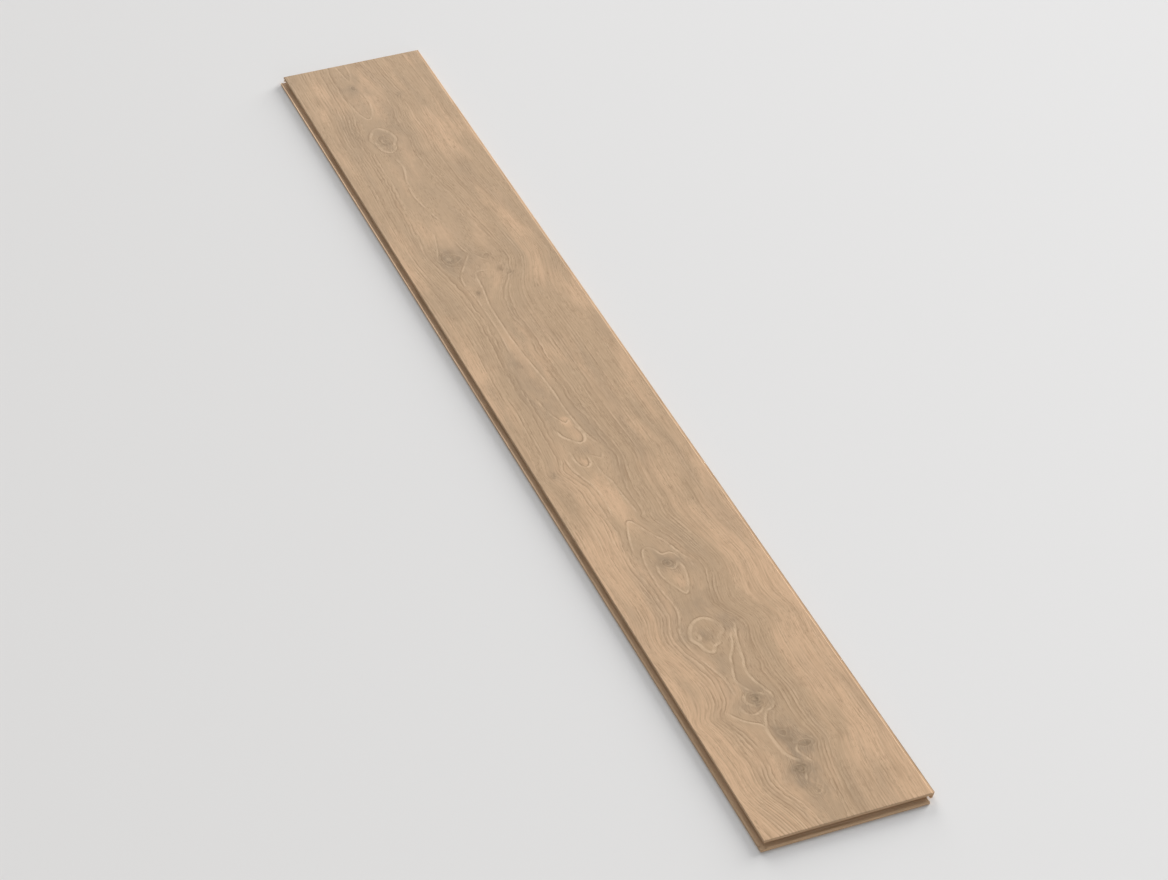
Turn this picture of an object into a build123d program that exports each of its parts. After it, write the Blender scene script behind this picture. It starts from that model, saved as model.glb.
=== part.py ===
from build123d import *
import os
from math import radians, sin, tan

# Rigid core vinyl floor plank, lying flat with its printed face up.
# Millimetres. X runs across the plank, Y along it, Z up.
# The origin is the middle of the underside, halfway between the joint planes.
# A joint plane is where the printed faces of two laid planks meet.
# The left side and the front end are groove edges, the right side and the back end tongue edges.

# Printed face, from joint plane to joint plane
face_width = 180.0
face_length = 1500.0
thickness = 8.0
edge_bevel = 0.8

# Groove edge: upper lip, slot, and a longer lower lip with a locking ridge
upper_lip = 2.6
slot_height = 2.0
slot_depth = 4.1
slot_lead = 0.3
lower_lip = 2.2
lip_reach = 5.5
valley_start = 0.6
ridge_height = 0.9
ridge_width = 1.1
ridge_angle = 60.0
nose_round = 1.0
nose_relief = 0.4

# Play between the tongue edge and the groove edge of the next plank
play = 0.1

slot_top = thickness - upper_lip
slot_floor = slot_top - slot_height
crest = lower_lip + ridge_height


def flank_reach(level, gap):
    """How far the ridge's inner flank stands out from the joint plane at a level above the underside."""
    crest_start = lip_reach - nose_round - ridge_width
    return crest_start - (crest - level) / tan(radians(ridge_angle)) - gap / sin(radians(ridge_angle))


def groove_edge():
    """Outline from the printed face down to the underside. The joint plane is X = 0, the body is at minus X."""
    slot_round = slot_height / 2
    slot_end = -slot_depth + slot_round
    upper = Polyline(
        (-edge_bevel, thickness),
        (0, thickness - edge_bevel),
        (0, slot_top + slot_lead),
        (-slot_lead, slot_top),
        (slot_end, slot_top),
    )
    back = ThreePointArc(
        (slot_end, slot_top),
        (-slot_depth, slot_top - slot_round),
        (slot_end, slot_floor),
    )
    lip = Polyline(
        (slot_end, slot_floor),
        (valley_start, lower_lip),
        (flank_reach(lower_lip, 0), lower_lip),
        (flank_reach(crest, 0), crest),
        (lip_reach - nose_round, crest),
    )
    nose = RadiusArc((lip_reach - nose_round, crest), (lip_reach, crest - nose_round), nose_round)
    foot = Polyline(
        (lip_reach, crest - nose_round),
        (lip_reach, nose_relief),
        (lip_reach - nose_relief, 0),
    )
    return upper.edges() + back.edges() + lip.edges() + nose.edges() + foot.edges()


def tongue_edge():
    """Outline from the printed face down to the underside, on the side of plus X from the body.

    Its tongue fills the next plank's slot, and the pocket under it takes the next plank's lower lip.
    """
    tongue_top = slot_top - play
    tongue_foot = slot_floor + play
    tongue_round = (tongue_top - tongue_foot) / 2
    tongue_reach = slot_depth - play
    tongue_end = tongue_reach - tongue_round
    pocket = lip_reach + play
    upper = Polyline(
        (-edge_bevel, thickness),
        (0, thickness - edge_bevel),
        (0, tongue_top),
        (tongue_end, tongue_top),
    )
    tip = ThreePointArc(
        (tongue_end, tongue_top),
        (tongue_reach, tongue_top - tongue_round),
        (tongue_end, tongue_foot),
    )
    under = Polyline(
        (tongue_end, tongue_foot),
        (-valley_start, lower_lip + play),
        (-flank_reach(lower_lip + play, play), lower_lip + play),
        (-flank_reach(crest + play, play), crest + play),
        (-pocket, crest + play),
        (-pocket, 0),
    )
    return upper.edges() + tip.edges() + under.edges()


def section(span):
    """Closed section of the plank: groove edge on the left, tongue edge on the right."""
    half = span / 2
    left = [edge.mirror(Plane.YZ).moved(Location((-half, 0))) for edge in groove_edge()]
    right = [edge.moved(Location((half, 0))) for edge in tongue_edge()]
    face = Line((-half + edge_bevel, thickness), (half - edge_bevel, thickness))
    underside = Line((-half - lip_reach + nose_relief, 0), (half - lip_reach - play, 0))
    return make_face(left + right + [face, underside])


def plank():
    """One plank. The long sides are milled along Y and the ends across X, through what the sides left.

    Where a locking ridge crosses a pocket, at two corners, a crumb is cut free and falls away.
    """
    milled_along = extrude(Plane.XZ * section(face_width), amount=face_length, both=True)
    milled_across = extrude(Plane.YZ * section(face_length), amount=face_width, both=True)
    milled = milled_along & milled_across
    return milled.solids().sort_by(SortBy.VOLUME).last


os.makedirs("parts", exist_ok=True)
export_step(plank(), "parts/plank.step")
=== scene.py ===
import math

import bmesh
import bpy
import numpy as np
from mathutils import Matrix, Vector


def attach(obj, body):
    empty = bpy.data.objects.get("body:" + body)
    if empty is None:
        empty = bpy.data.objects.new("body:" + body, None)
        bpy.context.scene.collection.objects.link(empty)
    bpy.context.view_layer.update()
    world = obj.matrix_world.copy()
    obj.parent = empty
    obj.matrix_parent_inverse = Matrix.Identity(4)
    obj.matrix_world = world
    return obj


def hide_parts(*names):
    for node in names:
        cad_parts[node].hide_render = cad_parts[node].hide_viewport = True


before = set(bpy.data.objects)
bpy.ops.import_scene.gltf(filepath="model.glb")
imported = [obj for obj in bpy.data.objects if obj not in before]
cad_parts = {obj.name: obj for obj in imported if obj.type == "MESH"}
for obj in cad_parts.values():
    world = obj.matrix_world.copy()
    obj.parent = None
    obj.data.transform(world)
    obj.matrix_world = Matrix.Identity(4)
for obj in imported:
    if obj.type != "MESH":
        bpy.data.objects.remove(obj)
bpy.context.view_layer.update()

# The looks of one wood-print floor plank. X runs across it, Y along it, Z is up.
# The mesh is in metres. The print is worked out in millimetres, measured from the plank's middle.
MM = 0.001

# Printed face, from joint plane to joint plane, as the frame has it
FACE_WIDTH = 180.0
FACE_LENGTH = 1500.0
EDGE_BEVEL = 0.8
THICKNESS = 8.0
JOINT_TOP = THICKNESS - EDGE_BEVEL

# How far in mm a corner may lie off the level that it belongs to
SLACK = 0.01

# Places closer than this many metres are the same
TOUCHING = 1e-6

# Cells of the printed face. The grain runs along Y, so a cell is longer that way.
# Across the board the cells are narrower over the heart and its knots: the middle of that strip,
# its half-width, and how many times closer together the grid's lines are there.
CELLS_ACROSS = 136
CELLS_ALONG = 700
FINE_MIDDLE = -18.0
FINE_HALF = 34.0
FINE_SHARE = 2.2


# Smooth noise, the same on each run

def lattice(seed, size=256):
    return np.random.default_rng(seed).uniform(-1.0, 1.0, (size, size))


def ease(share):
    """0 to 1 with a smooth start and end."""
    return share * share * share * (share * (share * 6 - 15) + 10)


def noise(x, y, seed):
    """Smooth noise between -1 and 1, whose cells are one unit across."""
    table = lattice(seed)
    size = table.shape[0]
    column = np.floor(x).astype(int)
    row = np.floor(y).astype(int)
    a = ease(x - column)
    b = ease(y - row)
    column0, column1 = column % size, (column + 1) % size
    row0, row1 = row % size, (row + 1) % size
    low = table[column0, row0] * (1 - a) + table[column1, row0] * a
    high = table[column0, row1] * (1 - a) + table[column1, row1] * a
    return low * (1 - b) + high * b


def bell(x, y, across, along):
    """1 at the middle, falling off smoothly over the given half-widths."""
    return np.exp(-0.5 * ((x / across) ** 2 + (y / along) ** 2))


# The print: a flat-sawn oak board whose heart runs down it left of the middle, past a row of knots.
# Between the heart's two banks the face is calm, with single pale strands. Outside them the ring lines
# follow the banks, and they run straighter the further out they are.

# Where the banks run, from the back end to the front end: (y, left bank, right bank)
BANKS = [
    (770, -28, 0), (700, -33, 5), (655, -32, 12), (600, -39, 8), (560, -42, 9), (520, -40, 5), (450, -41, 8),
    (400, -45, 16), (345, -48, 20), (310, -50, 24), (285, -50, 28), (260, -46, 30), (235, -42, 20),
    (205, -38, 0), (180, -36, -8), (150, -36, -9), (100, -36, -9), (60, -41, -9), (20, -42, -8),
    (-20, -42, -7), (-50, -42, -7), (-75, -44, -5), (-100, -46, -2), (-125, -49, 0), (-145, -53, 2),
    (-165, -47, -4), (-185, -41, -9), (-215, -40, -9), (-240, -39, -11), (-252, -39, -13), (-265, -39, -9),
    (-280, -41, -3), (-295, -44, 4), (-318, -45, 11), (-330, -44, 14), (-345, -42, 17), (-360, -41, 16),
    (-375, -39, 12), (-390, -38, 7), (-405, -39, 4), (-418, -43, 6), (-430, -49, 13), (-442, -52, 19),
    (-455, -52, 19), (-468, -48, 15), (-485, -44, 11), (-505, -39, 8), (-522, -35, 7), (-540, -35, 8),
    (-556, -39, 10), (-573, -52, 11), (-590, -46, 9), (-605, -41, 9), (-622, -39, 12), (-640, -37, 16),
    (-658, -39, 9), (-680, -42, 4), (-700, -38, 2), (-715, -31, 0), (-730, -27, -2), (-770, -20, -4),
]

# Where the banks would run in a board with no knots, and how far out they bend the ring lines
LEFT_REST = -40.0
RIGHT_REST = 2.0
BANK_REACH = 60.0
MIDDLE_OF_HEART = (LEFT_REST + RIGHT_REST) / 2
HALF_OF_HEART = (RIGHT_REST - LEFT_REST) / 2

# The print's olive band lies round the fibre line that runs here
MIDDLE_OF_OLIVE = 0.0

# Near the front end the ring lines on the left fan in towards the heart:
# (x, y, half-width, half-length, shift)
FAN = (-60, -765, 20, 42, 11)

# Strands: (half-width, strength, points). One that ends where it starts is a knot's shore.
# A dark line runs along the left side of a strand, as its points go.
STRANDS = [
    # long strands in the middle of the board, from a shelf at the back to the first arch
    (0.9, 0.9, [(-1, 247), (-9, 248), (-15, 245), (-17, 230), (-18, 214), (-21, 192), (-23, 168),
                (-23, 100)]),
    (0.9, 0.9, [(-23, 110), (-21, 70), (-17, 30), (-15, -5), (-15, -40), (-13, -66), (-10, -92),
                (-4, -112)]),
    (0.8, 0.7, [(-34, 80), (-31, 120), (-31, 160), (-32, 200), (-35, 225), (-34, 240), (-29, 252),
                (-20, 267)]),
    (0.8, 0.6, [(-20, 267), (-14, 277), (-9, 287), (-12, 300), (-14, 316)]),
    (0.8, 0.6, [(-9, 287), (-3, 282), (2, 273), (8, 266)]),
    (0.8, 0.6, [(-33, 340), (-38, 317), (-43, 299), (-49, 283)]),
    # arches that point to the front
    (0.8, 0.8, [(-38, -14), (-36, -34), (-31, -52), (-24, -66), (-16, -60)]),
    (1.3, 1.0, [(-40, -74), (-36, -88), (-29, -98), (-22, -105), (-15, -102), (-12, -90), (-15, -74)]),
    (1.1, 1.0, [(-39, -116), (-39, -134), (-35, -146), (-29, -148), (-24, -142), (-22, -128)]),
    (0.9, 0.9, [(-19, -130), (-14, -135), (-9, -139), (-6, -131)]),
    (0.9, 0.8, [(-37, -236), (-35, -212), (-35, -192), (-38, -176), (-43, -160), (-47, -145), (-48, -122)]),
    (0.8, 0.7, [(-20, -150), (-19, -166), (-15, -181), (-14, -202), (-12, -222), (-10, -244)]),
    # a pointed tongue over the first knot
    (0.9, 1.0, [(-40, -306), (-37, -288), (-33, -273), (-29, -260), (-25, -252), (-20, -258), (-15, -270),
                (-10, -281), (-4, -291), (0, -302), (4, -315), (9, -330)]),
    (0.9, 0.9, [(-36, -356), (-36, -336), (-34, -318), (-30, -304), (-24, -300), (-18, -305), (-14, -315),
                (-9, -316), (-4, -316), (0, -321), (3, -332)]),
    (1.0, 0.8, [(-1, -333), (0, -345), (-3, -361), (-8, -375), (-14, -384), (-20, -371), (-25, -357),
                (-27, -343), (-24, -329)]),
    (0.9, 0.6, [(-2, -331), (-6, -339), (-11, -342), (-16, -338)]),
    # the line that runs down the left of the second knot
    (0.8, 0.7, [(-31, -550), (-31, -534), (-32, -519), (-36, -505), (-40, -490), (-43, -476), (-46, -462),
                (-46, -448), (-44, -436), (-38, -422), (-34, -408), (-34, -392), (-36, -374), (-37, -354)]),
    # the second knot's shore and the pale slash in it
    (1.8, 0.85, [(-14, -427), (-7, -433), (-2, -443), (-3, -453), (-10, -460), (-13, -468), (-20, -472),
                (-25, -480), (-31, -475), (-34, -464), (-38, -455), (-36, -444), (-30, -434), (-22, -428),
                (-14, -427)]),
    (1.6, 1.0, [(-31, -461), (-29, -453), (-31, -445)]),
    # two wavy strands from the second knot to the third
    (1.1, 0.9, [(3, -458), (-1, -473), (-6, -484), (-12, -493), (-15, -503), (-19, -515), (-22, -529),
                (-18, -541), (-12, -551)]),
    (1.2, 0.9, [(13, -446), (8, -460), (4, -475), (1, -488), (-1, -500), (-5, -512), (-6, -523), (-4, -536),
                (0, -549), (3, -560), (1, -572), (-5, -579), (-13, -581)]),
    # the third knot
    (1.7, 1.0, [(-21, -550), (-25, -556), (-25, -564), (-20, -571)]),
    (1.3, 0.9, [(-10, -552), (-6, -555), (-3, -559)]),
    (0.9, 0.6, [(-18, -560), (-14, -562)]),
    (1.1, 0.8, [(-34, -566), (-32, -577), (-25, -582), (-17, -580), (-11, -574)]),
    # two branches that join below it, and their stem
    (1.0, 0.9, [(-50, -570), (-45, -579), (-39, -587), (-32, -593), (-25, -598), (-22, -607)]),
    (1.6, 0.7, [(-22, -600), (-23, -618), (-22, -634), (-20, -646), (-15, -655), (-9, -661)]),
    (1.0, 0.8, [(-10, -580), (-15, -587), (-18, -594), (-21, -604)]),
    (0.8, 0.6, [(-4, -583), (-8, -591), (-11, -599), (-12, -608)]),
    # small ones among the last knots
    (0.9, 0.8, [(-3, -637), (-7, -644), (-6, -650), (-3, -657), (1, -667)]),
    (0.9, 0.8, [(-12, -677), (-15, -684), (-17, -691)]),
    (0.8, 0.6, [(-20, -694), (-14, -700), (-9, -697), (-5, -689)]),
    (0.8, 0.6, [(-19, -703), (-13, -709), (-7, -705), (-3, -697)]),
    # the back of the board
    (1.6, 0.7, [(-22, 588), (-14, 585), (-7, 573), (-5, 559), (-10, 548), (-13, 536), (-21, 530), (-29, 539),
                (-31, 553), (-35, 565), (-29, 580), (-22, 588)]),
    (0.9, 0.7, [(-16, 366), (-23, 398), (-27, 430), (-24, 462), (-18, 490), (-20, 514)]),
    (0.9, 0.7, [(-33, 660), (-30, 632), (-22, 612), (-13, 624), (-8, 648), (-8, 676)]),
    (0.8, 0.6, [(-22, 752), (-19, 724), (-15, 706), (-9, 726), (-8, 752)]),
]

# A strand whose half-width is this has soft edges and no flat top
STRAND_EDGE = 0.8

# A strand is felt up to STRAND_REACH from its edge and fades out over the last STRAND_FADE of that.
# STRAND_FAR stands for further than any strand is felt.
STRAND_FADE = 1.4
STRAND_REACH = 4.2
STRAND_FAR = 9.0

# An open strand grows from its tip to its full strength over this length, and starts at this share
STRAND_TAPER = 7.0
STRAND_TIP = 0.2

# Straight pieces that a smooth line has between two of its points
LINE_PIECES = 7

# Knots: (x, y, half-width, half-length, bow, swirl, darkness). The bow is how far in mm the ring lines
# bend round the knot, and the swirl is how many small rings it has of its own.
KNOTS = [
    (-33, 283, 12, 15, 0, 2.4, 0.50), (-24, 281, 4, 6, 0, 0.6, 0.60), (9, 275, 8, 10, 0, 1.8, 0.65),
    (15, 243, 3, 5, 0, 0.3, 0.60), (25, 234, 3, 6, 2, 0.5, 0.80), (-25, 205, 4, 5, 0, 0.5, 1.0),
    (-31, 57, 4, 6, 0, 0.2, 0.45), (-71, -150, 5, 7, 3, 1.2, 0.75), (-11, -332, 10, 8, 0, 2.2, 0.85),
    (-24, -456, 8, 9, 0, 0.6, 0.35), (-15, -561, 10, 11, 0, 3.4, 1.0), (-8, -617, 7, 7, 0, 1.6, 0.90),
    (-8, -628, 6, 3, 0, 0.4, 0.80), (6, -638, 9, 6, 0, 1.4, 0.60), (-14, -670, 9, 10, 0, 2.6, 1.0),
    (-13, -704, 9, 9, 0, 2.0, 0.35), (-20, 558, 9, 12, 0, 1.6, 0.50), (34, 655, 4, 6, 2, 1.2, 0.80),
    (-17, 690, 5, 8, 0, 1.0, 0.60),
]

# Patches of grey shade in and beside the heart, and a few light ones, whose depth is less than 0:
# (x, y, half-width, half-length, depth)
SHADES = [
    (-22, -455, 6, 9, 0.5), (-22, -62, 5, 7, -1.6), (-25, -206, 8, 34, -1.0), (-10, -364, 7, 12, -0.9),
    (-16, -436, 6, 5, -0.8), (-24, -470, 8, 5, -0.8), (-24, -90, 7, 12, -0.6), (-30, -138, 5, 8, -0.9),
    (-22, -622, 4, 16, -0.9),
    (-33, 284, 12, 16, 0.6), (-29, 10, 9, 55, 0.5), (-20, -120, 10, 12, 0.3), (-14, -326, 14, 14, 0.5),
    (-4, -402, 13, 20, 0.5), (9, -443, 8, 14, 0.7), (18, -461, 5, 10, 0.6), (-25, -500, 11, 18, 0.3),
    (-22, -543, 10, 10, 0.6), (-14, -562, 13, 14, 0.6), (-8, -614, 10, 16, 0.6), (4, -643, 10, 10, 0.6),
    (-10, -655, 15, 35, 0.25), (-16, -670, 13, 15, 0.6), (-14, -715, 14, 30, 0.4),
    (-20, 560, 20, 30, 0.4), (-18, 690, 12, 30, 0.4),
]

# Where the ring lines stand out: (x, y, half-width, half-length)
BOLD = [
    (-52, -712, 19, 36), (-54, -730, 16, 24), (24, -300, 8, 40), (8, -385, 9, 20), (25, -560, 8, 45),
    (-52, -440, 8, 40), (-45, 110, 12, 60), (-45, 310, 8, 24), (20, 320, 8, 24), (-48, -590, 8, 20),
    (-44, 480, 10, 70),
]

# Rings are this far apart near the bark side, this far apart next to the heart's banks,
# and the one width turns into the other over this distance.
RING_WIDTH = 3.0
BANK_RING_WIDTH = 5.0
BANK_FADE = 14.0

# Ring lines are ragged next to the banks, up to about this far from them
RAG_REACH = 16.0

# At a bank the face turns from calm to ringed over this many mm
BANK_TURN = 2.4

# How grey the face is at the heart, round its knots and in its patches, and how far past the banks
# the heart's grey reaches
HEART_GREY = 0.11
KNOT_GREY = 0.26
SHADE_GREY = 0.50
GREY_REACH = 22.0


def banks_at(y):
    """Where the heart's two banks run across the board, rounded between the stations."""
    stations = np.array(BANKS, dtype=float)[::-1]
    shifts = (-6.0, -2.0, 2.0, 6.0)
    zero = np.zeros_like(y)
    left, right = (
        sum(np.interp(y + shift, stations[:, 0], stations[:, column]) for shift in shifts) / len(shifts)
        for column in (1, 2)
    )
    return left + 0.9 * noise(zero, y / 26, 3), right + 0.9 * noise(zero + 9, y / 23, 4)


def flow_at(x, y):
    """Where the fibre line through a point would run across a board with no knots, in mm."""
    x = x + 1.4 * noise(x / 60, y / 190, 11) + 0.4 * noise(x / 25, y / 70, 12)
    left, right = banks_at(y)
    between = LEFT_REST + (x - left) / (right - left) * (RIGHT_REST - LEFT_REST)
    fan_x, fan_y, across, along, shift = FAN
    fan = shift * bell(x - fan_x, y - fan_y, across, along)
    past_left = x - (left - LEFT_REST) * np.exp(-np.maximum(left - x, 0) / BANK_REACH) - fan
    past_right = x - (right - RIGHT_REST) * np.exp(-np.maximum(x - right, 0) / BANK_REACH)
    return np.where(x < left, past_left, np.where(x > right, past_right, between))


def past_banks(flow):
    """How far outside the heart's banks a fibre line runs, in mm, and less than 0 between them."""
    return np.maximum(LEFT_REST - flow, flow - RIGHT_REST)


def ring_count(radius):
    """Rings between a bank and a place that far past it in mm. Between the banks they hardly change."""
    outside = np.maximum(radius, 0)
    fading = RING_WIDTH + (BANK_RING_WIDTH - RING_WIDTH) * np.exp(-outside / BANK_FADE)
    rings = (outside + BANK_FADE * np.log(fading / BANK_RING_WIDTH)) / RING_WIDTH
    return rings + 0.05 * np.minimum(radius, 0)


def rings_at(x, y):
    """How many rings a point is out from the banks, with the knots' own rings."""
    radius = past_banks(flow_at(x, y))
    rag = 1.6 * noise(x / 14, y / 30, 13)
    rag = rag - 1.8 * np.abs(noise(x / 8, y / 16, 14))
    rag = rag + 0.5 * noise(x / 4, y / 7, 20)
    radius = radius + rag * np.exp(-(radius / RAG_REACH) ** 2)
    swirls = np.zeros_like(x)
    for knot_x, knot_y, across, along, bow, swirl, _ in KNOTS:
        dx = x - knot_x + 0.3 * across * noise(x / 6, y / 9, 23)
        dy = y - knot_y
        radius = radius - bow * bell(dx, dy, across * 1.6, along * 1.5)
        swirls = swirls - swirl * bell(dx, dy, across * 0.6, along * 0.6)
    return ring_count(radius) + 0.5 * noise(radius / 11.0, y / 900, 17) + swirls


def smooth_line(points):
    """Points along a smooth line through the given ones, and whether it closes on itself."""
    points = np.array(points, dtype=float)
    closed = np.allclose(points[0], points[-1])
    before = points[-2] if closed else 2 * points[0] - points[1]
    after = points[1] if closed else 2 * points[-1] - points[-2]
    guides = np.vstack([before, points, after])
    share = np.linspace(0, 1, LINE_PIECES, endpoint=False)[:, None]
    pieces = []
    for a, b, c, d in zip(guides, guides[1:], guides[2:], guides[3:]):
        bend = (2 * a - 5 * b + 4 * c - d) * share ** 2 + (3 * b - a - 3 * c + d) * share ** 3
        pieces.append(b + 0.5 * ((c - a) * share + bend))
    return np.vstack(pieces + [points[-1:]]), closed


def beside_line(x, y, line):
    """Distance of points from a line in mm, less than 0 on its left, how far along it, and its length."""
    nearest = np.full_like(x, np.inf)
    along = np.zeros_like(x)
    start = 0.0
    for (x0, y0), (x1, y1) in zip(line, line[1:]):
        run = np.hypot(x1 - x0, y1 - y0)
        way_x, way_y = (x1 - x0) / run, (y1 - y0) / run
        done = np.clip((x - x0) * way_x + (y - y0) * way_y, 0, run)
        off_x = x - x0 - done * way_x
        off_y = y - y0 - done * way_y
        distance = np.hypot(off_x, off_y)
        closer = distance < np.abs(nearest)
        side = np.where(way_y * off_x - way_x * off_y < 0, -1, 1)
        nearest = np.where(closer, side * distance, nearest)
        along = np.where(closer, start + done, along)
        start = start + run
    return nearest, along, start


def strands_at(x, y):
    """Distance from the nearest strand's edge in mm, less than 0 on its dark side, and its strength."""
    strand = np.full_like(x, STRAND_FAR)
    weight = np.zeros_like(x)
    for half_width, strength, points in STRANDS:
        line, closed = smooth_line(points)
        low, high = line.min(axis=0) - STRAND_FAR, line.max(axis=0) + STRAND_FAR
        near = (x > low[0]) & (x < high[0]) & (y > low[1]) & (y < high[1])
        across, along, length = beside_line(x[near], y[near], line)
        edge = np.sign(across) * np.maximum(np.abs(across) - (half_width - STRAND_EDGE), 0)
        from_tip = np.minimum(along, length - along)
        taper = 1.0 if closed else np.clip(from_tip / STRAND_TAPER + STRAND_TIP, 0, 1)
        here = strength * taper * np.clip((STRAND_REACH - np.abs(edge)) / STRAND_FADE, 0, 1)
        score = here / (1 + np.abs(edge))
        best = score > weight[near] / (1 + np.abs(strand[near]))
        strand[near] = np.where(best, edge, strand[near])
        weight[near] = np.where(best, here, weight[near])
    return strand, weight


def print_fields(x, y):
    """What the printed face needs at each point: rings and their pitch, fibre line, greyness and so on."""
    rings = rings_at(x, y)
    step = 0.4
    widest_pitch = 25.0
    slope_x = (rings_at(x + step, y) - rings_at(x - step, y)) / (2 * step)
    slope_y = (rings_at(x, y + step) - rings_at(x, y - step)) / (2 * step)
    pitch = 1 / np.maximum(np.hypot(slope_x, slope_y), 1 / widest_pitch)
    flow = flow_at(x, y)
    outside = past_banks(flow)
    calm = np.clip(0.5 - outside / BANK_TURN, 0, 1)
    cloudy = 1 + 0.8 * noise(x / 40, y / 120, 16)
    grey = HEART_GREY * np.exp(-(np.maximum(outside, 0) / GREY_REACH) ** 2) * cloudy
    bold = sum(bell(x - bold_x, y - bold_y, across, along) for bold_x, bold_y, across, along in BOLD)
    knot = np.zeros_like(x)
    for knot_x, knot_y, across, along, _, _, dark in KNOTS:
        dx = x - knot_x
        dy = y - knot_y
        calm = calm * (1 - 0.8 * bell(dx, dy, across * 0.9, along * 0.9))
        bold = np.maximum(bold, 0.9 * bell(dx, dy, across * 0.8, along * 0.8))
        grey = grey + KNOT_GREY * dark * bell(dx, dy, across * 1.6, along * 1.5)
        ragged = 0.6 + 0.5 * noise(x / 4, y / 5, 24)
        knot = np.maximum(knot, dark * ragged * bell(dx, dy, across * 0.62, along * 0.62))
    for shade_x, shade_y, across, along, depth in SHADES:
        grey = grey + SHADE_GREY * depth * bell(x - shade_x, y - shade_y, across, along)
    grey = grey * (1 + 0.5 * noise(x / 8, y / 15, 25) + 0.35 * noise(x / 4, y / 10, 26))
    strand, weight = strands_at(x, y)
    return {
        "ring": rings,
        "pitch": pitch,
        "fibre": flow,
        "bold": np.clip(bold, 0, 1),
        "grey": np.clip(grey, -1, 1),
        "knot": np.clip(knot, 0, 1),
        "calm": calm,
        "side": np.tanh((flow - MIDDLE_OF_HEART) / 10.0),
        "strand": strand,
        "weight": weight,
    }


# The pressed relief of the rings: its depth in mm, how far from the bevels it has that depth,
# and where in a ring it is highest
RELIEF_DEPTH = 0.035
RELIEF_EDGE = 4.0
RELIEF_TOP = 0.55


def ring_relief(rings):
    """Height of the pressed ring relief, 0 at its deepest and 1 at the top."""
    part = rings - np.floor(rings)
    return 0.5 + 0.5 * np.cos(2 * math.pi * (part - RELIEF_TOP))


# The plank's mesh: the frame's outline, with the printed face made of fine cells

# Neighbouring faces of the core that turn less than this in degrees are one flat face
FLAT_TURN = 0.5


def printed_mesh(source):
    """A copy of the frame's plank whose face and bevels are a fine grid in the pressed relief."""
    shape = bmesh.new()
    shape.from_mesh(source.data)
    bmesh.ops.remove_doubles(shape, verts=shape.verts, dist=TOUCHING)
    top = [f for f in shape.faces if min(v.co.z for v in f.verts) > (JOINT_TOP - SLACK) * MM]
    bmesh.ops.delete(shape, geom=top, context="FACES")
    bmesh.ops.dissolve_limit(
        shape,
        angle_limit=math.radians(FLAT_TURN),
        verts=shape.verts,
        edges=shape.edges,
    )
    half_width = FACE_WIDTH / 2
    half_length = FACE_LENGTH / 2
    inner_x = grid_lines_across(half_width - EDGE_BEVEL)
    inner_y = np.linspace(-half_length + EDGE_BEVEL, half_length - EDGE_BEVEL, CELLS_ALONG + 1)
    rim = split_rim(shape, inner_x, inner_y)
    add_face_grid(shape, inner_x, inner_y, rim)
    bmesh.ops.recalc_face_normals(shape, faces=shape.faces)
    mesh = bpy.data.meshes.new("plank_with_print")
    shape.to_mesh(mesh)
    shape.free()
    return mesh


def grid_lines_across(half):
    """The grid's lines across the face, closer together over the heart."""
    samples = 2001
    places = np.linspace(-half, half, samples)
    crowding = 1 + (FINE_SHARE - 1) * np.exp(-((places - FINE_MIDDLE) / FINE_HALF) ** 4)
    count = np.cumsum(crowding) - crowding[0]
    return np.interp(np.linspace(0, count[-1], CELLS_ACROSS + 1), count, places)


def split_rim(shape, inner_x, inner_y):
    """Splits the four open edges at the foot of the bevels where the grid's lines meet them."""
    half_width = FACE_WIDTH / 2 * MM
    half_length = FACE_LENGTH / 2 * MM
    open_edges = [e for e in shape.edges if e.is_boundary]
    rim = {}
    for edge in open_edges:
        start, end = edge.verts
        along_y = abs(start.co.x - end.co.x) < TOUCHING
        values = (inner_y if along_y else inner_x) * MM
        axis = 1 if along_y else 0
        low, high = (start, end) if start.co[axis] < end.co[axis] else (end, start)
        line = [low]
        current = edge
        behind = low
        for value in values[1:-1]:
            length = high.co[axis] - behind.co[axis]
            share = (value - behind.co[axis]) / length
            current, vert = bmesh.utils.edge_split(current, behind, share)
            vert.co[axis] = value
            line.append(vert)
            current = next(e for e in vert.link_edges if high in e.verts)
            behind = vert
        line.append(high)
        side = ("left" if low.co.x < 0 else "right") if along_y else ("front" if low.co.y < 0 else "back")
        rim[side] = line
    assert set(rim) == {"left", "right", "front", "back"}, sorted(rim)
    assert all(abs(abs(v.co.x) - half_width) < SLACK * MM for v in rim["left"] + rim["right"])
    assert all(abs(abs(v.co.y) - half_length) < SLACK * MM for v in rim["front"] + rim["back"])
    return rim


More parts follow.
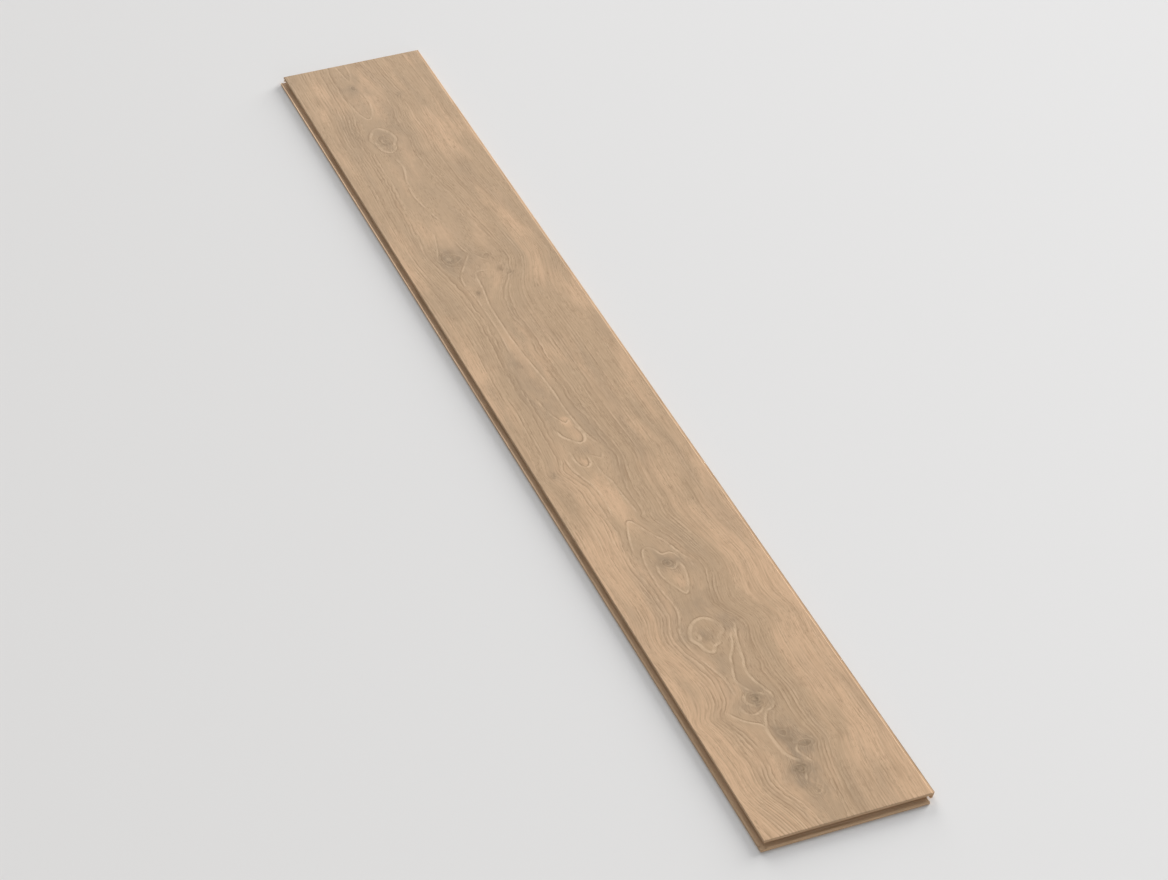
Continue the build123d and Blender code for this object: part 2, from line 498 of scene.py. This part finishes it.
def add_face_grid(shape, inner_x, inner_y, rim):
    """Adds the fine cells in the pressed relief, and the bevels from them to the rim."""
    x, y = np.meshgrid(inner_x, inner_y, indexing="ij")
    fields = print_fields(x, y)
    edge = np.minimum(inner_x[-1] - np.abs(x), inner_y[-1] - np.abs(y))
    fade = np.clip(edge / RELIEF_EDGE, 0, 1)
    share = 0.5 + 0.5 * noise(x / 20, y / 90, 21)
    drop = RELIEF_DEPTH * fade * (1 - ring_relief(fields["ring"])) * share
    z = THICKNESS - np.maximum(drop, 0)
    grid = [
        [shape.verts.new((x[i, j] * MM, y[i, j] * MM, z[i, j] * MM)) for j in range(len(inner_y))]
        for i in range(len(inner_x))
    ]
    for i in range(len(inner_x) - 1):
        for j in range(len(inner_y) - 1):
            face = shape.faces.new((grid[i][j], grid[i + 1][j], grid[i + 1][j + 1], grid[i][j + 1]))
            face.smooth = True
    borders = {
        "left": grid[0],
        "right": grid[-1],
        "front": [column[0] for column in grid],
        "back": [column[-1] for column in grid],
    }
    for side, inner in borders.items():
        outer = rim[side]
        for k in range(len(inner) - 1):
            shape.faces.new((inner[k], inner[k + 1], outer[k + 1], outer[k]))


def add_fields(mesh):
    """Writes the print's fields on every vertex."""
    count = len(mesh.vertices)
    places = np.empty(count * 3)
    mesh.vertices.foreach_get("co", places)
    places = places.reshape(count, 3) / MM
    fields = print_fields(places[:, 0], places[:, 1])
    for name, values in fields.items():
        layer = mesh.attributes.new(name, "FLOAT", "POINT")
        layer.data.foreach_set("value", values.astype(np.float32))


def mark_slots(mesh):
    """Slot 0 is the printed face with its bevels, slot 1 the milled core. Returns which are printed."""
    lowest = np.array([min(mesh.vertices[v].co.z for v in f.vertices) for f in mesh.polygons])
    printed = lowest > (JOINT_TOP - SLACK) * MM
    mesh.polygons.foreach_set("material_index", np.where(printed, 0, 1).astype(np.int32))
    return printed


# On the bake's map the two halves of the printed face lie one above the other, each as wide as the map.
# The core's faces lie in rows below them, in this share of the map's height.
MAP_PIXELS = 1024
MAP_GAP = 2 / MAP_PIXELS
CORE_ROWS = 0.18

# A core face of this length in mm fills a row, and a row's height follows the width of its faces
LONGEST_FACE = 1512.0
ROW_PER_MM = 1.6 / MAP_PIXELS
THINNEST_ROW = 3 / MAP_PIXELS
THICKEST_ROW = 40 / MAP_PIXELS


def add_map(mesh, printed):
    """Lays every face out on the bake's map."""
    corners = np.array([loop.vertex_index for loop in mesh.loops])
    places = np.array([vertex.co for vertex in mesh.vertices])[corners] / MM
    starts = np.array([face.loop_start for face in mesh.polygons])
    sizes = np.array([face.loop_total for face in mesh.polygons])
    back = np.repeat(np.add.reduceat(places[:, 1], starts) > 0, sizes)
    high = (1 - CORE_ROWS) / 2 - 2 * MAP_GAP
    spots = np.empty((len(corners), 2))
    spots[:, 0] = MAP_GAP + (1 - 2 * MAP_GAP) * (places[:, 1] / (FACE_LENGTH / 2) + 1 - back)
    foot = CORE_ROWS + MAP_GAP + (high + 2 * MAP_GAP) * back
    spots[:, 1] = foot + high * (0.5 - places[:, 0] / FACE_WIDTH)
    lay_rows(core_charts(mesh, printed, places), spots)
    layer = mesh.uv_layers.new(name="OFBake")
    layer.data.foreach_set("uv", spots.astype(np.float32).ravel())


def core_charts(mesh, printed, places):
    """The core's faces in groups that lie flat with no overlap: those at one edge that face one way.

    Each group is a list of (corners, how far along the group they are, how far across it).
    """
    axes = np.eye(3)
    charts = {}
    for face in mesh.polygons:
        if printed[face.index]:
            continue
        own = slice(face.loop_start, face.loop_start + face.loop_total)
        facing = int(np.argmax(np.abs(face.normal)))
        along = 0 if facing == 1 else 1
        across = 3 - facing - along
        middle = places[own, facing].mean()
        group = middle > SLACK if facing == 2 else middle > 0
        name = (facing, face.normal[facing] > 0, group)
        turn = np.sign(np.linalg.det([axes[along], axes[across], face.normal]))
        charts.setdefault(name, []).append((own, places[own, along], turn * places[own, across]))
    return charts.values()


def lay_rows(charts, spots):
    """Lays the groups on the map in rows from its bottom edge up, the longest groups first."""
    boxes = []
    for chart in charts:
        along = np.concatenate([part[1] for part in chart])
        across = np.concatenate([part[2] for part in chart])
        boxes.append((np.ptp(along), np.ptp(across), along.min(), across.min(), chart))
    boxes.sort(key=lambda box: -box[0])
    scale = (1 - 2 * MAP_GAP) / LONGEST_FACE
    start = row = MAP_GAP
    row_height = 0.0
    for length, width, first, lowest, chart in boxes:
        height = min(max(width * ROW_PER_MM, THINNEST_ROW), THICKEST_ROW)
        if start + length * scale > 1:
            start = MAP_GAP
            row += row_height + MAP_GAP
            row_height = 0.0
        for own, along, across in chart:
            spots[own, 0] = start + (along - first) * scale
            spots[own, 1] = row + (across - lowest) / width * height
        start += length * scale + MAP_GAP
        row_height = max(row_height, height)
    assert row + row_height < CORE_ROWS, row + row_height


# Material nodes

class Nodes:
    """Short names for the nodes that the materials are made of."""

    def __init__(self, name):
        self.material = bpy.data.materials.new(name)
        self.material.use_nodes = True
        self.tree = self.material.node_tree
        self.shader = self.tree.nodes["Principled BSDF"]

    def put(self, socket, value):
        if isinstance(value, bpy.types.NodeSocket):
            self.tree.links.new(value, socket)
        else:
            socket.default_value = value

    def math(self, operation, a, b=0.0, c=0.0, clamp=False):
        node = self.tree.nodes.new("ShaderNodeMath")
        node.operation = operation
        node.use_clamp = clamp
        for socket, value in zip(node.inputs, (a, b, c)):
            self.put(socket, value)
        return node.outputs[0]

    def times(self, a, b):
        return self.math("MULTIPLY", a, b)

    def plus(self, a, b):
        return self.math("ADD", a, b)

    def larger(self, a, b):
        return self.math("MAXIMUM", a, b)

    def between(self, share, low, high):
        """Low where the share is 0 and high where it is 1."""
        return self.math("MULTIPLY_ADD", share, high - low, low)

    def field(self, name):
        node = self.tree.nodes.new("ShaderNodeAttribute")
        node.attribute_name = name
        return node.outputs["Fac"]

    def place(self):
        """X, Y and Z in mm."""
        coordinates = self.tree.nodes.new("ShaderNodeTexCoord")
        scale = self.tree.nodes.new("ShaderNodeVectorMath")
        scale.operation = "SCALE"
        self.tree.links.new(coordinates.outputs["Object"], scale.inputs[0])
        scale.inputs["Scale"].default_value = 1 / MM
        split = self.tree.nodes.new("ShaderNodeSeparateXYZ")
        self.tree.links.new(scale.outputs[0], split.inputs[0])
        return list(split.outputs)

    def noise(self, x, y, z, detail=2.0, rough=0.5):
        """Noise between 0 and 1. Each of x, y and z is a value, or a value with its cells for each unit."""
        join = self.tree.nodes.new("ShaderNodeCombineXYZ")
        for socket, value in zip(join.inputs, (x, y, z)):
            self.put(socket, self.times(*value) if isinstance(value, tuple) else value)
        node = self.tree.nodes.new("ShaderNodeTexNoise")
        node.inputs["Scale"].default_value = 1.0
        node.inputs["Detail"].default_value = detail
        node.inputs["Roughness"].default_value = rough
        self.tree.links.new(join.outputs[0], node.inputs["Vector"])
        return node.outputs["Fac"]

    def step(self, value, low, high):
        """0 up to low, 1 from high on, smooth between. Where low is the larger, it falls from 1 to 0."""
        node = self.tree.nodes.new("ShaderNodeMapRange")
        node.interpolation_type = "SMOOTHSTEP"
        self.put(node.inputs["Value"], value)
        node.inputs["From Min"].default_value = low
        node.inputs["From Max"].default_value = high
        return node.outputs["Result"]

    def mix(self, share, a, b):
        """Colour a turning to colour b."""
        node = self.tree.nodes.new("ShaderNodeMix")
        node.data_type = "RGBA"
        self.put(node.inputs["Factor"], share)
        self.put(node.inputs["A"], a)
        self.put(node.inputs["B"], b)
        return node.outputs["Result"]

    def bump(self, height, depth):
        """A bump of that depth in mm where height goes from 0 to 1."""
        node = self.tree.nodes.new("ShaderNodeBump")
        node.inputs["Distance"].default_value = depth * MM
        self.put(node.inputs["Height"], height)
        self.tree.links.new(node.outputs[0], self.shader.inputs["Normal"])


def linear(red, green, blue):
    """A colour as seen on a screen, 0 to 255, as light."""
    channels = [c / 255 for c in (red, green, blue)]
    return [c / 12.92 if c <= 0.04045 else ((c + 0.055) / 1.055) ** 2.4 for c in channels] + [1.0]


OLIVE_TAN = linear(194, 165, 134)
PINK_TAN = linear(217, 182, 148)
GREY_BROWN = linear(169, 146, 121)
PALE_LINE = linear(222, 194, 162)
DARK_LINE = linear(153, 125, 96)
PORE = linear(118, 94, 71)
KNOT_BROWN = linear(120, 102, 78)
BEVEL_TAN = linear(192, 164, 134)
CORE_TAN = linear(207, 175, 142)
CORE_DARK = linear(185, 153, 120)

# How far each layer of the print turns the colour, 0 to 1
RING_PALE = 0.42
RING_DARK = 0.68
STRAND_PALE = 0.66
STRAND_DARK = 0.70
STREAK = 0.13
GRAIN = 0.25
PORES = 0.32
BEVEL = 0.7

# How far the ring lines fade between the heart's banks
CALM = 0.85


class Print(Nodes):
    """The nodes of the printed face. Each method works out one layer of the print."""

    def __init__(self):
        super().__init__("wood_print")
        self.x, self.y, self.z = self.place()
        self.pitch = self.field("pitch")
        self.fibre = self.field("fibre")
        self.bold = self.field("bold")
        # Noise that runs through the heart differs from one side of it to the other
        self.apart = self.times(self.field("side"), 3.0)
        self.fray = self.noise((self.x, 0.9), (self.y, 0.22), 13.0, 3.0, 0.6)
        self.swell = self.noise((self.x, 0.12), (self.y, 0.05), 3.0)
        self.ring = self.plus(self.field("ring"), self.between(self.fray, -0.15, 0.15))
        self.wide = self.larger(self.step(self.pitch, 1.2, 4.8), self.times(self.bold, 0.9))
        self.loud = self.between(self.field("calm"), 1.0, 1.0 - CALM)

    def ring_strength(self):
        """Ring lines come and go along the board, and stand out near the heart and where they are bold."""
        patch = self.noise((self.ring, 0.45), (self.y, 0.009), self.apart)
        from_heart = self.math("ABSOLUTE", self.plus(self.fibre, -MIDDLE_OF_HEART))
        beside_heart = self.step(self.plus(from_heart, -HALF_OF_HEART), 40.0, 4.0)
        patches = self.larger(self.step(patch, 0.44, 0.66), self.times(beside_heart, 0.75))
        patches = self.larger(patches, self.bold)
        breaks = self.noise((self.ring, 0.9), (self.y, 0.032), self.apart)
        unbroken = self.between(self.step(breaks, 0.38, 0.58), 0.2, 1.0)
        strength = self.times(self.between(self.wide, 0.12, 1.0), self.between(patches, 0.16, 1.0))
        return self.times(strength, unbroken)

    def ring_lines(self):
        """One pale line on each ring, which fades outwards, with a darker line on its other side."""
        part = self.math("FRACT", self.ring)
        after = self.times(part, self.pitch)
        before = self.times(self.math("SUBTRACT", 1.0, part), self.pitch)
        fade = self.times(after, self.between(self.swell, 1.7, 0.1))
        pale_line = self.times(self.step(after, 0.0, 0.7), self.step(fade, 2.9, 0.7))
        dark_line = self.step(before, 2.4, 0.1)
        strength = self.ring_strength()
        pale = self.times(pale_line, self.times(strength, RING_PALE))
        dark = self.times(dark_line, self.between(strength, 0.02, RING_DARK))
        return self.times(pale, self.loud), self.times(dark, self.loud)

    def strand_lines(self):
        """The strands, pale with a dark left side."""
        waxing = self.noise((self.x, 0.10), (self.y, 0.055), 61.0)
        waxed = self.between(self.step(waxing, 0.36, 0.60), 0.30, 1.02)
        weight = self.times(self.field("weight"), waxed)
        edge = self.plus(self.field("strand"), self.between(self.fray, -1.0, 1.0))
        from_edge = self.times(self.math("ABSOLUTE", edge), self.between(self.swell, 1.9, 0.3))
        pale = self.times(weight, self.step(from_edge, 1.9, 0.1))
        left_side = self.times(self.step(edge, -0.7, -1.6), self.step(edge, -3.9, -1.8))
        dark = self.times(weight, left_side)
        return self.times(pale, STRAND_PALE), self.times(dark, STRAND_DARK)

    def ring_tones(self):
        """Each ring has its own depth of tone, which changes slowly along the board."""
        whole = self.times(self.math("FLOOR", self.ring), 3.7)
        tone = self.noise(whole, (self.y, 0.006), self.apart, 1.0)
        band = self.times(self.step(tone, 0.45, 0.75), self.between(self.wide, 0.05, 0.35))
        return self.times(band, self.loud)

    def pores_and_lime(self):
        """Pores, and the pale lime brushed into some of them."""
        tick = self.noise((self.fibre, 1.7), (self.y, 0.11), 21.0, 2.0, 0.55)
        crowd = self.noise((self.fibre, 0.10), (self.y, 0.014), 33.0)
        crowded = self.step(crowd, 0.38, 0.62)
        pores = self.times(self.step(tick, 0.52, 0.66), self.between(crowded, 0.25, 1.0))
        limed = self.noise((self.fibre, 1.5), (self.y, 0.08), 45.0, 2.0, 0.6)
        lime = self.times(self.step(limed, 0.52, 0.70), self.between(crowded, 0.10, 0.35))
        return pores, lime

    def ground(self):
        """The tan under the lines: olive along the middle, pink outside it at the front, and greys."""
        grey = self.field("grey")
        blush = self.noise((self.fibre, 0.030), (self.y, 0.008), 51.0, 3.0)
        cloud = self.noise((self.fibre, 0.035), (self.y, 0.006), 57.0, 3.0)
        off_olive = self.math("ABSOLUTE", self.plus(self.fibre, -MIDDLE_OF_OLIVE))
        off_olive = self.plus(off_olive, self.between(cloud, -30.0, 30.0))
        outer = self.times(self.step(off_olive, 18.0, 64.0), self.step(self.y, -120.0, -380.0))
        light = self.times(self.larger(self.times(grey, -1.0), 0.0), 0.5)
        blush = self.plus(blush, self.plus(self.times(outer, 0.24), light))
        blush = self.plus(blush, -0.09)
        colour = self.mix(self.step(blush, 0.35, 0.65), OLIVE_TAN, PINK_TAN)
        clouded = self.times(self.step(cloud, 0.45, 0.72), 0.45)
        greyness = self.math("ADD", self.larger(grey, 0.0), clouded, clamp=True)
        return self.mix(greyness, colour, GREY_BROWN)

    def knot_blots(self):
        """The brown of the knots, in blots."""
        blot = self.noise((self.x, 0.34), (self.y, 0.26), 71.0, 3.0, 0.6)
        return self.times(self.field("knot"), self.between(self.step(blot, 0.35, 0.62), 0.30, 0.90))


def print_material():
    n = Print()
    streak = n.noise((n.ring, 4.0), (n.y, 0.02), n.apart, 3.0, 0.6)
    grain = n.noise((n.fibre, 0.9), (n.y, 0.022), 7.0, 3.0, 0.65)
    dash = n.noise((n.fibre, 0.42), (n.y, 0.026), 83.0, 2.0, 0.6)
    dashes = n.times(n.step(dash, 0.50, 0.68), n.between(n.loud, 0.06, 0.34))
    ring_pale, ring_dark = n.ring_lines()
    strand_pale, strand_dark = n.strand_lines()
    pale = n.larger(ring_pale, strand_pale)
    dark = n.larger(ring_dark, strand_dark)
    pores, lime = n.pores_and_lime()

    colour = n.ground()
    colour = n.mix(n.ring_tones(), colour, DARK_LINE)
    colour = n.mix(n.times(n.step(streak, 0.45, 0.75), STREAK), colour, DARK_LINE)
    colour = n.mix(n.times(n.step(grain, 0.48, 0.76), GRAIN), colour, DARK_LINE)
    colour = n.mix(dashes, colour, DARK_LINE)
    colour = n.mix(dark, colour, DARK_LINE)
    colour = n.mix(lime, colour, PALE_LINE)
    colour = n.mix(n.knot_blots(), colour, KNOT_BROWN)
    colour = n.mix(pale, colour, PALE_LINE)
    colour = n.mix(n.times(pores, PORES), colour, PORE)
    on_bevel = n.step(n.z, THICKNESS - 0.1, THICKNESS - 0.5)
    colour = n.mix(n.times(on_bevel, BEVEL), colour, BEVEL_TAN)
    n.put(n.shader.inputs["Base Color"], colour)

    rough = n.plus(n.times(grain, 0.12), n.between(pores, 0.58, 0.74))
    n.put(n.shader.inputs["Roughness"], rough)
    n.shader.inputs["Specular IOR Level"].default_value = 0.08
    height = n.math("SUBTRACT", n.times(pale, 0.6), n.times(pores, 0.8))
    height = n.math("SUBTRACT", height, n.times(grain, 0.5))
    n.bump(height, 0.045)
    return n.material


def core_material():
    n = Nodes("mineral_core")
    x, y, z = n.place()
    layer = n.noise((x, 0.02), (y, 0.02), (z, 2.2), 3.0)
    grit = n.noise((x, 1.6), (y, 1.6), (z, 1.6), 3.0, 0.7)
    stain = n.noise((x, 0.03), (y, 0.03), 5.0)
    colour = n.mix(n.step(layer, 0.35, 0.70), CORE_TAN, CORE_DARK)
    colour = n.mix(n.times(n.step(grit, 0.55, 0.75), 0.35), colour, PALE_LINE)
    colour = n.mix(n.times(n.step(grit, 0.45, 0.25), 0.35), colour, PORE)
    colour = n.mix(n.times(n.step(stain, 0.45, 0.75), 0.2), colour, GREY_BROWN)
    n.put(n.shader.inputs["Base Color"], colour)
    n.put(n.shader.inputs["Roughness"], n.between(grit, 0.68, 0.88))
    n.shader.inputs["Specular IOR Level"].default_value = 0.25
    n.bump(n.plus(grit, n.times(layer, 0.6)), 0.06)
    return n.material


def plank():
    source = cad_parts["plank"]
    mesh = printed_mesh(source)
    add_fields(mesh)
    printed = mark_slots(mesh)
    add_map(mesh, printed)
    piece = bpy.data.objects.new("plank_with_print", mesh)
    bpy.context.scene.collection.objects.link(piece)
    mesh.materials.append(print_material())
    mesh.materials.append(core_material())
    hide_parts("plank")
    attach(piece, "root")


# Floor, light and camera

LIGHT_COLOUR = (1.0, 0.99, 0.97)

# Lights far off: (name, where it shines from, how wide it is in degrees, strength)
LAMPS = [
    ("key", (18.9, 11.2, 5.3), 32.0, 4.7),
    ("back", (4.0, 28.0, 6.3), 28.0, 2.5),
    ("fill", (3.0, -20.0, 1.6), 30.0, 0.6),
]

# The light from all round, and how bright the background shows behind the floor
SURROUND = 0.37
BACKGROUND = 0.74

# The floor reaches this far each way in metres, and lies this far under the plank, clear of it
FLOOR_HALF = 20.0
FLOOR_DROP = 0.0002

# Painted light and shade: the floor is painted a little darker on the left of the plank than on its right.
# The turn takes this far in mm either way, and beyond the near ring it gives way to one even tone at the far
# ring.
FLOOR_PAINTED_SHADE = (0.746, 0.742, 0.742, 1)
FLOOR_PAINTED_LIGHT = (0.900, 0.902, 0.912, 1)
FLOOR_TURN = 1600.0
NEAR_RING = 1000.0
FAR_RING = 5000.0


def floor():
    mesh = bpy.data.meshes.new("floor")
    half = FLOOR_HALF
    level = -FLOOR_DROP
    corners = [(-half, -half, level), (half, -half, level), (half, half, level), (-half, half, level)]
    mesh.from_pydata(corners, [], [(0, 1, 2, 3)])
    piece = bpy.data.objects.new("floor", mesh)
    bpy.context.scene.collection.objects.link(piece)
    n = Nodes("pale_floor")
    x, y = n.place()[:2]
    distance_squared = n.plus(n.times(x, x), n.times(y, y))
    near = n.step(distance_squared, FAR_RING ** 2, NEAR_RING ** 2)
    # Painted shade on the floor left of the plank and painted light right of it, fading to one even tone far
    # off
    from_even = n.plus(n.step(x, -FLOOR_TURN, FLOOR_TURN), -0.5)
    share = n.plus(n.times(from_even, near), 0.5)
    n.put(n.shader.inputs["Base Color"], n.mix(share, FLOOR_PAINTED_SHADE, FLOOR_PAINTED_LIGHT))
    n.shader.inputs["Roughness"].default_value = 0.9
    n.shader.inputs["Specular IOR Level"].default_value = 0.0
    mesh.materials.append(n.material)


def far_light(name, place, spread, strength):
    """A soft light from far off in the direction of a place, as wide as the spread in degrees."""
    lamp = bpy.data.lights.new(name, "SUN")
    lamp.angle = math.radians(spread)
    lamp.energy = strength
    lamp.color = LIGHT_COLOUR
    light = bpy.data.objects.new(name, lamp)
    bpy.context.scene.collection.objects.link(light)
    light.location = place
    light.rotation_euler = (-Vector(place)).to_track_quat("-Z", "Y").to_euler()


def lights():
    world = bpy.data.worlds.new("studio")
    bpy.context.scene.world = world
    world.use_nodes = True
    tree = world.node_tree
    background = tree.nodes["Background"]
    background.inputs["Color"].default_value = (1.0, 1.0, 1.0, 1)
    path = tree.nodes.new("ShaderNodeLightPath")
    seen = tree.nodes.new("ShaderNodeMapRange")
    seen.inputs["To Min"].default_value = SURROUND
    seen.inputs["To Max"].default_value = BACKGROUND
    tree.links.new(path.outputs["Is Camera Ray"], seen.inputs["Value"])
    tree.links.new(seen.outputs["Result"], background.inputs["Strength"])
    for name, place, spread, strength in LAMPS:
        far_light(name, place, spread, strength)


# The photograph's camera: its place and its aim in metres, measured from the plank's middle,
# its lens and sensor in mm, and how far it sees in metres
CAMERA_PLACE = (-1.116, -2.854, 2.286)
CAMERA_AIM = (-0.012, -0.092, 0.0)
CAMERA_LENS = 104.5
SENSOR_WIDTH = 36.0
CAMERA_REACH = 100.0


def camera():
    lens = bpy.data.cameras.new("camera")
    lens.lens = CAMERA_LENS
    lens.sensor_width = SENSOR_WIDTH
    lens.clip_end = CAMERA_REACH
    view = bpy.data.objects.new("camera", lens)
    bpy.context.scene.collection.objects.link(view)
    view.location = CAMERA_PLACE
    view.rotation_euler = (Vector(CAMERA_AIM) - Vector(CAMERA_PLACE)).to_track_quat("-Z", "Y").to_euler()
    bpy.context.scene.camera = view


plank()
floor()
lights()
camera()
bpy.context.scene.view_settings.view_transform = "Standard"
